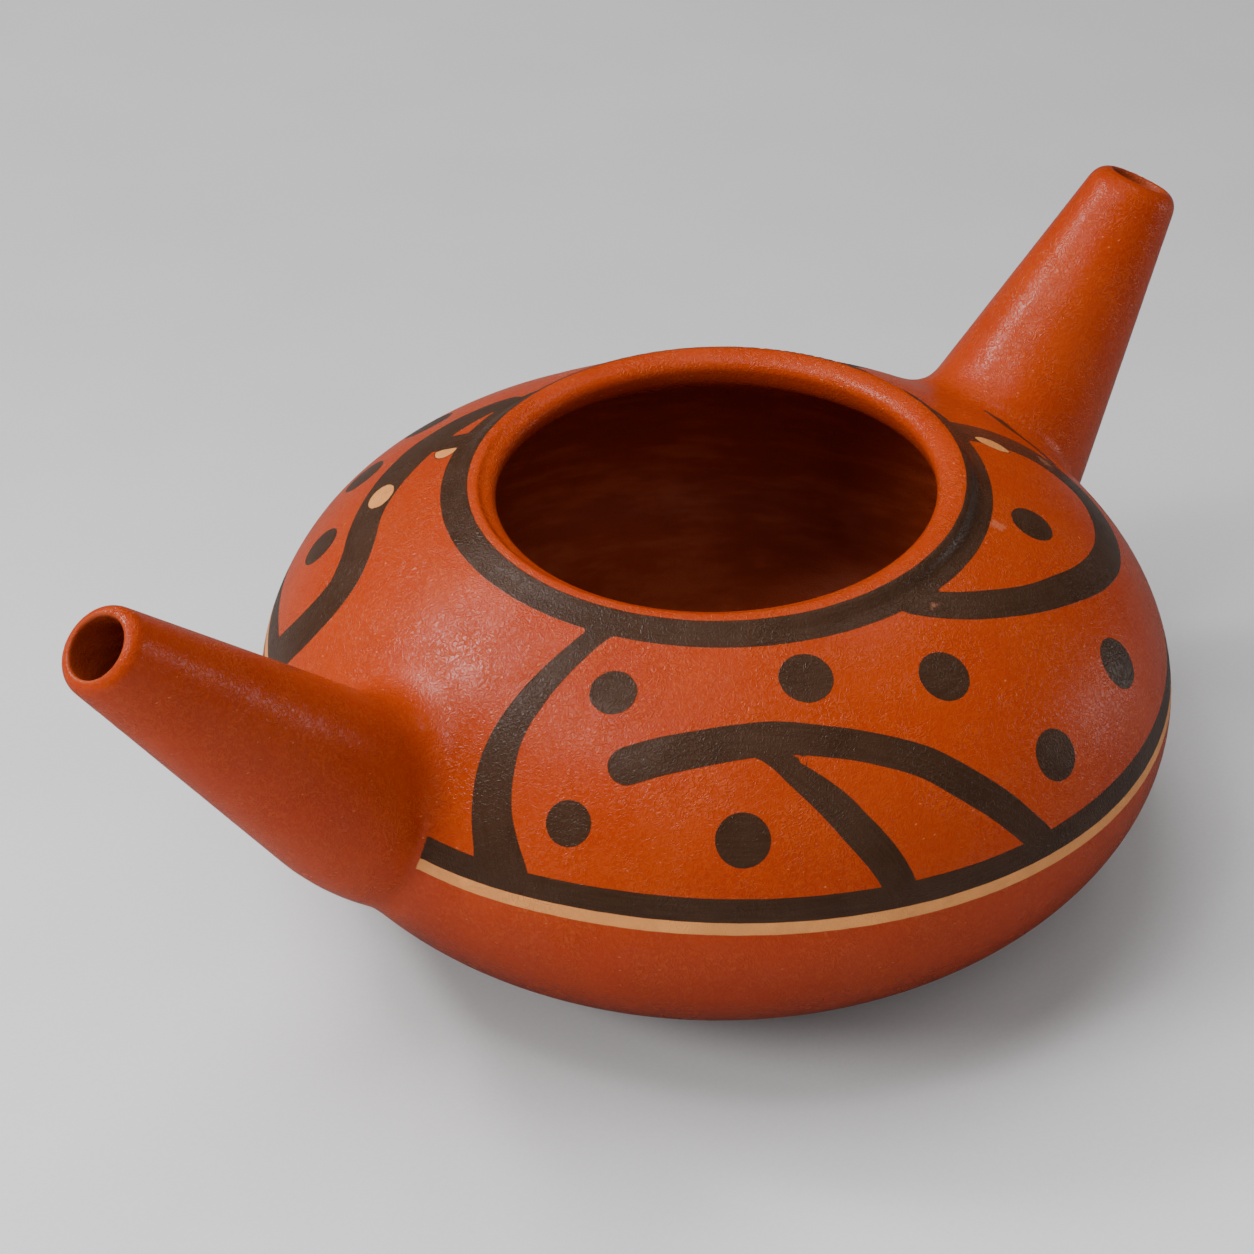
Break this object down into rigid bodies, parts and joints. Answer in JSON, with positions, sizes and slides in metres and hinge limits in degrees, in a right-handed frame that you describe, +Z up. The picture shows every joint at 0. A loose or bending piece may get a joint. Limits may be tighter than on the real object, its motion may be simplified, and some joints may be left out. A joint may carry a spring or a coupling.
{
  "type": "paccha drinking vessel",
  "caption": "Low round open pot on a small flat foot, with a rolled lip and two straight tapered hollow spouts leaning outward on opposite sides.",
  "frame": {"origin": "centre of the flat underside the vessel stands on, on the pot's own axis", "axes": "+Z up through the mouth, +X along the shorter, stouter spout, -X along the longer, slimmer spout"},
  "size_m": [0.3004, 0.2, 0.1255],
  "materials": {
    "clay": "burnished red slip, satin"
  },
  "bodies": {
    "root": {"paccha_vessel": "clay"}
  },
  "joints": []
}
